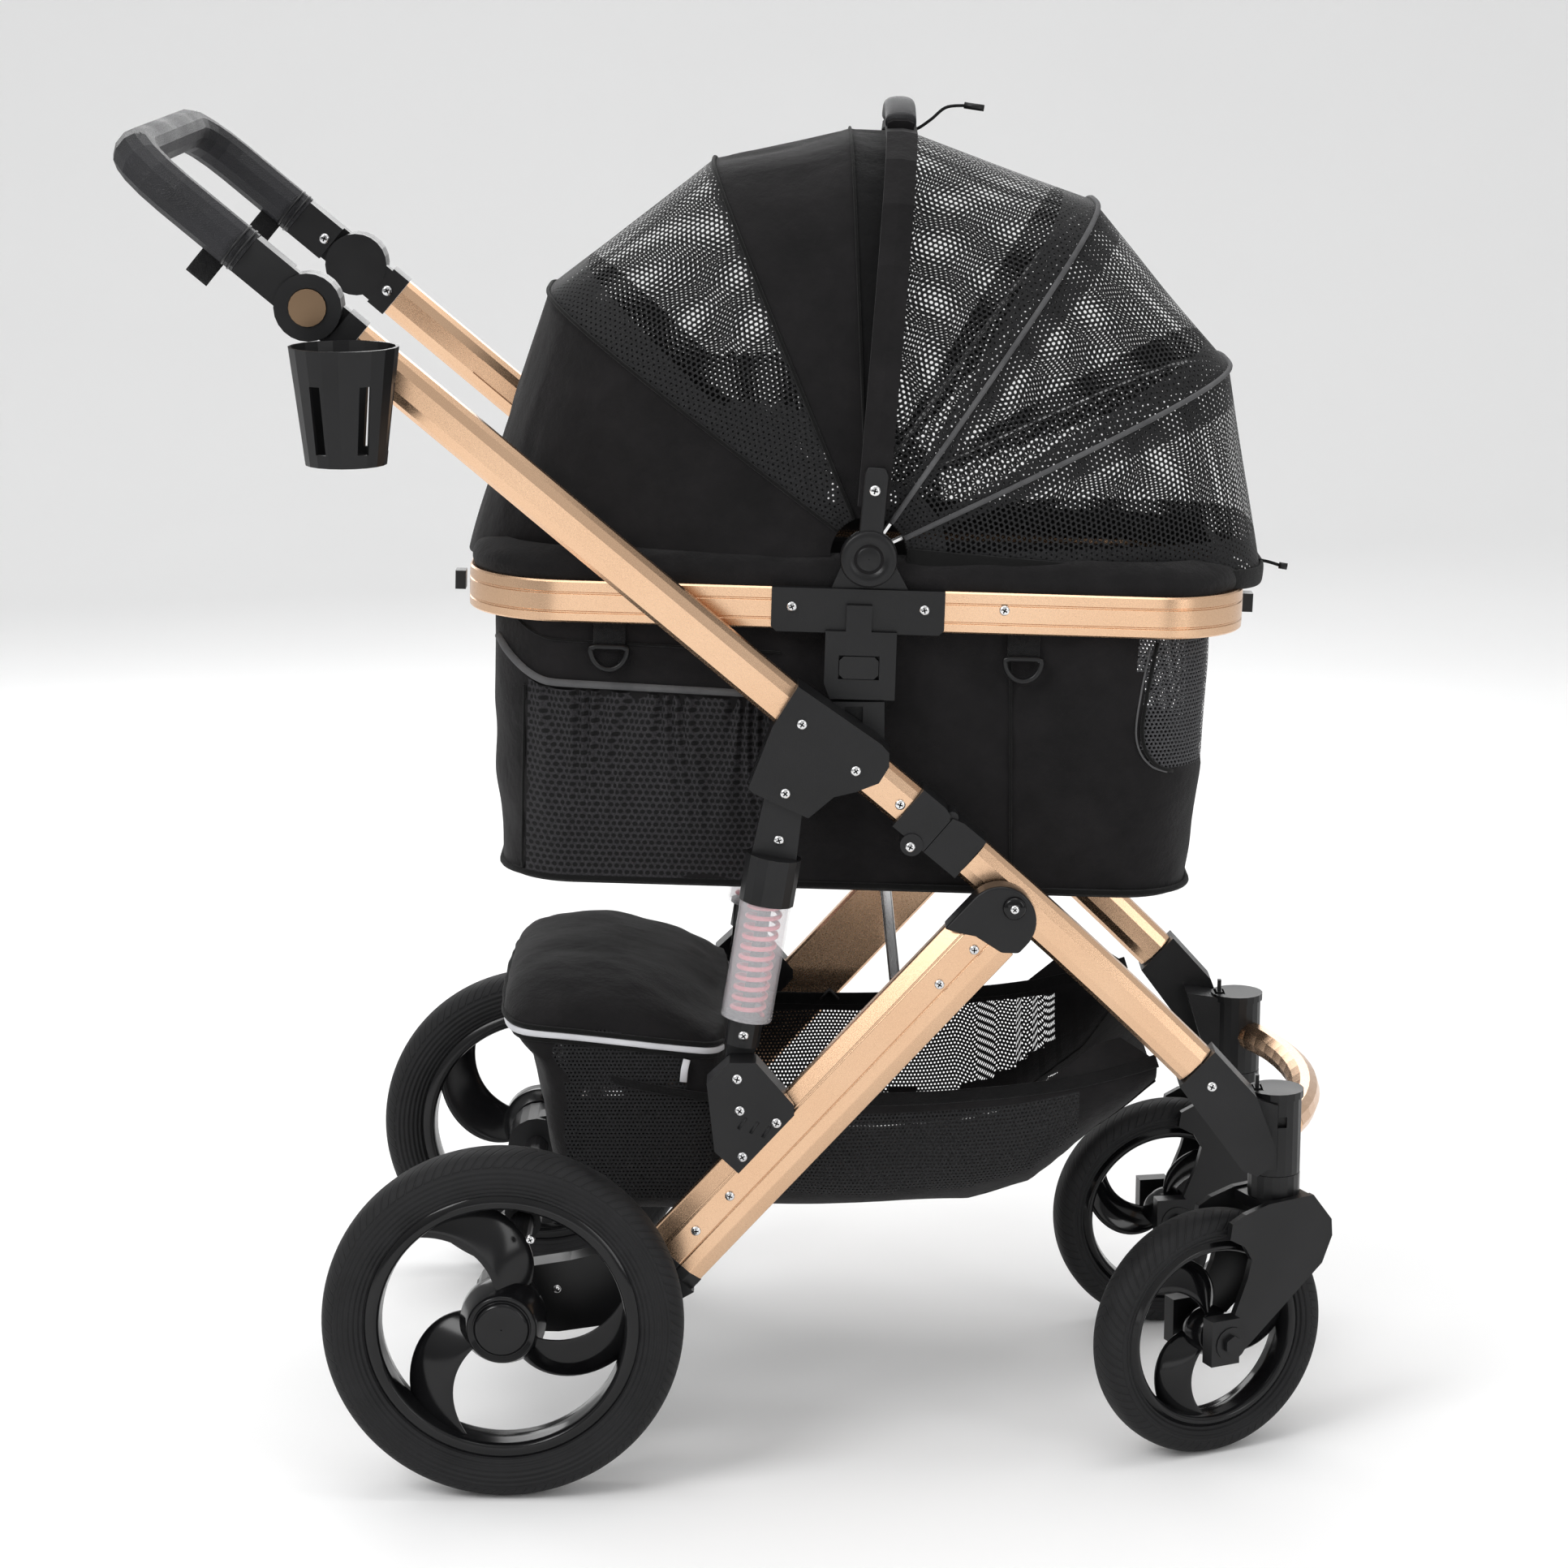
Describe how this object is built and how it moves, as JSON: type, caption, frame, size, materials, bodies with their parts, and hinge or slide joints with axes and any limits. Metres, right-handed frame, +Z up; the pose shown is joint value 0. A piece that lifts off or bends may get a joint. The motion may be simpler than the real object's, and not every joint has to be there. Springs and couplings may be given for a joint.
{
  "type": "pet stroller",
  "caption": "Folding pet stroller with sprung rear links, swivel front casters, lift-off cabin under a fan canopy of cloth and mesh, under-basket, adjustable grip and cup holder.",
  "frame": {"origin": "on the floor, at the centre of the bounding box's base", "axes": "+X forward, +Y to the stroller's left, +Z up"},
  "size_m": [0.9662, 0.582, 1.079],
  "materials": {
    "champagne": "satin champagne anodised",
    "black_plastic": "fine grain black",
    "gloss_black": "gloss black",
    "tyre": "matt ribbed rubber",
    "steel": "bright steel",
    "fabric": "black woven polyester",
    "net": "open black mesh",
    "pad": "soft grey plush",
    "leather": "black grained leatherette",
    "bronze": "bronze lacquer"
  },
  "bodies": {
    "front_frame": {"front_leg_L": "champagne", "front_leg_R": "champagne", "leg_socket_L": "black_plastic", "leg_socket_R": "black_plastic", "front_bracket_L": "black_plastic", "front_bracket_R": "black_plastic", "front_cross_tube": "champagne", "basket_tray": "net", "basket_bag": "fabric"},
    "handle_frame": {"handle_tube_L": "champagne", "handle_tube_R": "champagne", "hinge_knuckle_L": "black_plastic", "hinge_knuckle_R": "black_plastic", "upper_plate_L": "black_plastic", "upper_plate_R": "black_plastic", "tube_hub_L": "black_plastic", "tube_hub_R": "black_plastic"},
    "rear_frame": {"rear_leg_L": "champagne", "rear_leg_R": "champagne", "lower_plate_L": "black_plastic", "lower_plate_R": "black_plastic", "rear_axle": "black_plastic"},
    "cabin": {"rim_frame": "champagne", "side_connector_L": "black_plastic", "side_connector_R": "black_plastic", "cabin_shell": "fabric", "cabin_cushion": "pad", "hoop": "fabric", "canopy_rear": "fabric", "canopy_front": "net"},
    "handle_bar": {"handle_bar": "black_plastic", "handle_grip": "leather"},
    "cup_holder": {"cup_holder": "black_plastic"},
    "brake_pedal": {"brake_pedal": "black_plastic"},
    "latch_button_front": {"latch_button_front": "black_plastic"},
    "latch_button_rear": {"latch_button_rear": "black_plastic"},
    "rib_f1": {"rib_f1": "steel"},
    "rib_f2": {"rib_f2": "steel"},
    "shock_L": {"shock_body_L": "black_plastic"},
    "shock_foot_L": {"shock_rod_L": "black_plastic"},
    "rear_wheel_L": {"rear_tyre_L": "tyre", "rear_rim_L": "gloss_black"},
    "caster_L": {"caster_fork_L": "black_plastic"},
    "front_wheel_L": {"front_tyre_L": "tyre", "front_rim_L": "gloss_black"},
    "swivel_lock_L": {"swivel_lock_L": "black_plastic"},
    "hub_button_L": {"hub_button_L": "bronze"},
    "fold_slider_L": {"fold_slider_L": "black_plastic"},
    "release_button_L": {"release_button_L": "gloss_black"},
    "shock_R": {"shock_body_R": "black_plastic"},
    "shock_foot_R": {"shock_rod_R": "black_plastic"},
    "rear_wheel_R": {"rear_tyre_R": "tyre", "rear_rim_R": "gloss_black"},
    "caster_R": {"caster_fork_R": "black_plastic"},
    "front_wheel_R": {"front_tyre_R": "tyre", "front_rim_R": "gloss_black"},
    "swivel_lock_R": {"swivel_lock_R": "black_plastic"},
    "hub_button_R": {"hub_button_R": "bronze"},
    "fold_slider_R": {"fold_slider_R": "black_plastic"},
    "release_button_R": {"release_button_R": "gloss_black"}
  },
  "joints": [
    {"name": "handle_fold", "type": "hinge", "parent": "front_frame", "child": "handle_frame", "pos_m": [0.16559, 0, 0.53127], "axis": [0, 1, 0], "range_deg": [0, 130]},
    {"name": "rear_leg_fold", "type": "hinge", "parent": "front_frame", "child": "rear_frame", "pos_m": [0.21362, 0, 0.465], "axis": [0, 1, 0], "range_deg": [0, 81.2]},
    {"name": "cabin_lift", "type": "slide", "parent": "front_frame", "child": "cabin", "axis": [0, 0, 1], "range_m": [0, 0.45]},
    {"name": "shock_tilt_L", "type": "hinge", "parent": "handle_frame", "child": "shock_L", "pos_m": [0.03462, 0.186, 0.553], "axis": [0, 1, 0], "range_deg": [-46.3, 0]},
    {"name": "shock_travel_L", "type": "slide", "parent": "shock_L", "child": "shock_foot_L", "axis": [0.1658, 0, 0.9862], "range_m": [0, 0.015], "stiffness_N_per_m": 800, "springref_m": -0.01},
    {"name": "rear_wheel_spin_L", "type": "hinge", "parent": "rear_frame", "child": "rear_wheel_L", "pos_m": [-0.18738, 0.2645, 0.1425], "axis": [0, 1, 0], "continuous": true},
    {"name": "caster_swivel_L", "type": "hinge", "parent": "front_frame", "child": "caster_L", "pos_m": [0.43062, 0.1455, 0.215], "axis": [0, 0, 1], "continuous": true},
    {"name": "front_wheel_spin_L", "type": "hinge", "parent": "caster_L", "child": "front_wheel_L", "pos_m": [0.37154, 0.13505, 0.1015], "axis": [-0.1741, 0.9847, 0], "continuous": true},
    {"name": "swivel_lock_L", "type": "slide", "parent": "front_frame", "child": "swivel_lock_L", "axis": [0, 0, 1], "range_m": [0, 0.0025]},
    {"name": "hub_press_L", "type": "slide", "parent": "handle_bar", "child": "hub_button_L", "axis": [0, -1, 0], "range_m": [0, 0.003], "stiffness_N_per_m": 300, "springref_m": -0.004},
    {"name": "fold_slide_L", "type": "slide", "parent": "handle_frame", "child": "fold_slider_L", "axis": [-0.7619, 0, 0.6476], "range_m": [0, 0.03], "stiffness_N_per_m": 60, "springref_m": -0.02},
    {"name": "release_press_L", "type": "slide", "parent": "cabin", "child": "release_button_L", "axis": [0, -1, 0], "range_m": [0, 0.003], "stiffness_N_per_m": 300, "springref_m": -0.004},
    {"name": "shock_tilt_R", "type": "hinge", "parent": "handle_frame", "child": "shock_R", "pos_m": [0.03462, -0.186, 0.553], "axis": [0, 1, 0], "range_deg": [-46.3, 0]},
    {"name": "shock_travel_R", "type": "slide", "parent": "shock_R", "child": "shock_foot_R", "axis": [0.1658, 0, 0.9862], "range_m": [0, 0.015], "stiffness_N_per_m": 800, "springref_m": -0.01},
    {"name": "rear_wheel_spin_R", "type": "hinge", "parent": "rear_frame", "child": "rear_wheel_R", "pos_m": [-0.18738, -0.2645, 0.1425], "axis": [0, 1, 0], "continuous": true},
    {"name": "caster_swivel_R", "type": "hinge", "parent": "front_frame", "child": "caster_R", "pos_m": [0.43062, -0.1455, 0.215], "axis": [0, 0, 1], "continuous": true},
    {"name": "front_wheel_spin_R", "type": "hinge", "parent": "caster_R", "child": "front_wheel_R", "pos_m": [0.37659, -0.1716, 0.1015], "axis": [-0.435, 0.9004, 0], "continuous": true},
    {"name": "swivel_lock_R", "type": "slide", "parent": "front_frame", "child": "swivel_lock_R", "axis": [0, 0, 1], "range_m": [0, 0.0025]},
    {"name": "hub_press_R", "type": "slide", "parent": "handle_bar", "child": "hub_button_R", "axis": [0, 1, 0], "range_m": [0, 0.003], "stiffness_N_per_m": 300, "springref_m": -0.004},
    {"name": "fold_slide_R", "type": "slide", "parent": "handle_frame", "child": "fold_slider_R", "axis": [-0.7619, 0, 0.6476], "range_m": [0, 0.03], "stiffness_N_per_m": 60, "springref_m": -0.02},
    {"name": "release_press_R", "type": "slide", "parent": "cabin", "child": "release_button_R", "axis": [0, 1, 0], "range_m": [0, 0.003], "stiffness_N_per_m": 300, "springref_m": -0.004},
    {"name": "bar_tilt", "type": "hinge", "parent": "handle_frame", "child": "handle_bar", "pos_m": [-0.32938, 0, 0.931], "axis": [0, 1, 0], "range_deg": [-45, 60]},
    {"name": "cup_lift", "type": "slide", "parent": "handle_frame", "child": "cup_holder", "axis": [0, 0, 1], "range_m": [0, 0.08]},
    {"name": "brake_press", "type": "hinge", "parent": "rear_frame", "child": "brake_pedal", "pos_m": [-0.18738, 0, 0.1425], "axis": [0, 1, 0], "range_deg": [-20, 0]},
    {"name": "latch_front_press", "type": "slide", "parent": "cabin", "child": "latch_button_front", "axis": [-0.9996, 0, 0.0297], "range_m": [0, 0.003], "stiffness_N_per_m": 300, "springref_m": -0.004},
    {"name": "latch_rear_press", "type": "slide", "parent": "cabin", "child": "latch_button_rear", "axis": [0.9996, 0, -0.0297], "range_m": [0, 0.003], "stiffness_N_per_m": 300, "springref_m": -0.004},
    {"name": "canopy_front_1", "type": "hinge", "parent": "cabin", "child": "rib_f1", "pos_m": [0.09986, 0, 0.73177], "axis": [0, -1, 0], "range_deg": [0, 25], "deforming": ["canopy_front"]},
    {"name": "canopy_front_2", "type": "hinge", "parent": "rib_f1", "child": "rib_f2", "pos_m": [0.09986, 0, 0.73177], "axis": [0, -1, 0], "range_deg": [0, 24.1], "deforming": ["canopy_front"]}
  ],
  "couplings": [
    {"joint": "rear_leg_fold", "follows": "handle_fold", "ratio": 0.624},
    {"joint": "cabin_lift", "follows": "handle_fold", "m_per_rad": 0.195},
    {"joint": "shock_tilt_L", "follows": "handle_fold", "ratio": -0.355},
    {"joint": "shock_tilt_R", "follows": "handle_fold", "ratio": -0.355},
    {"joint": "canopy_front_2", "follows": "canopy_front_1", "ratio": 0.96}
  ]
}
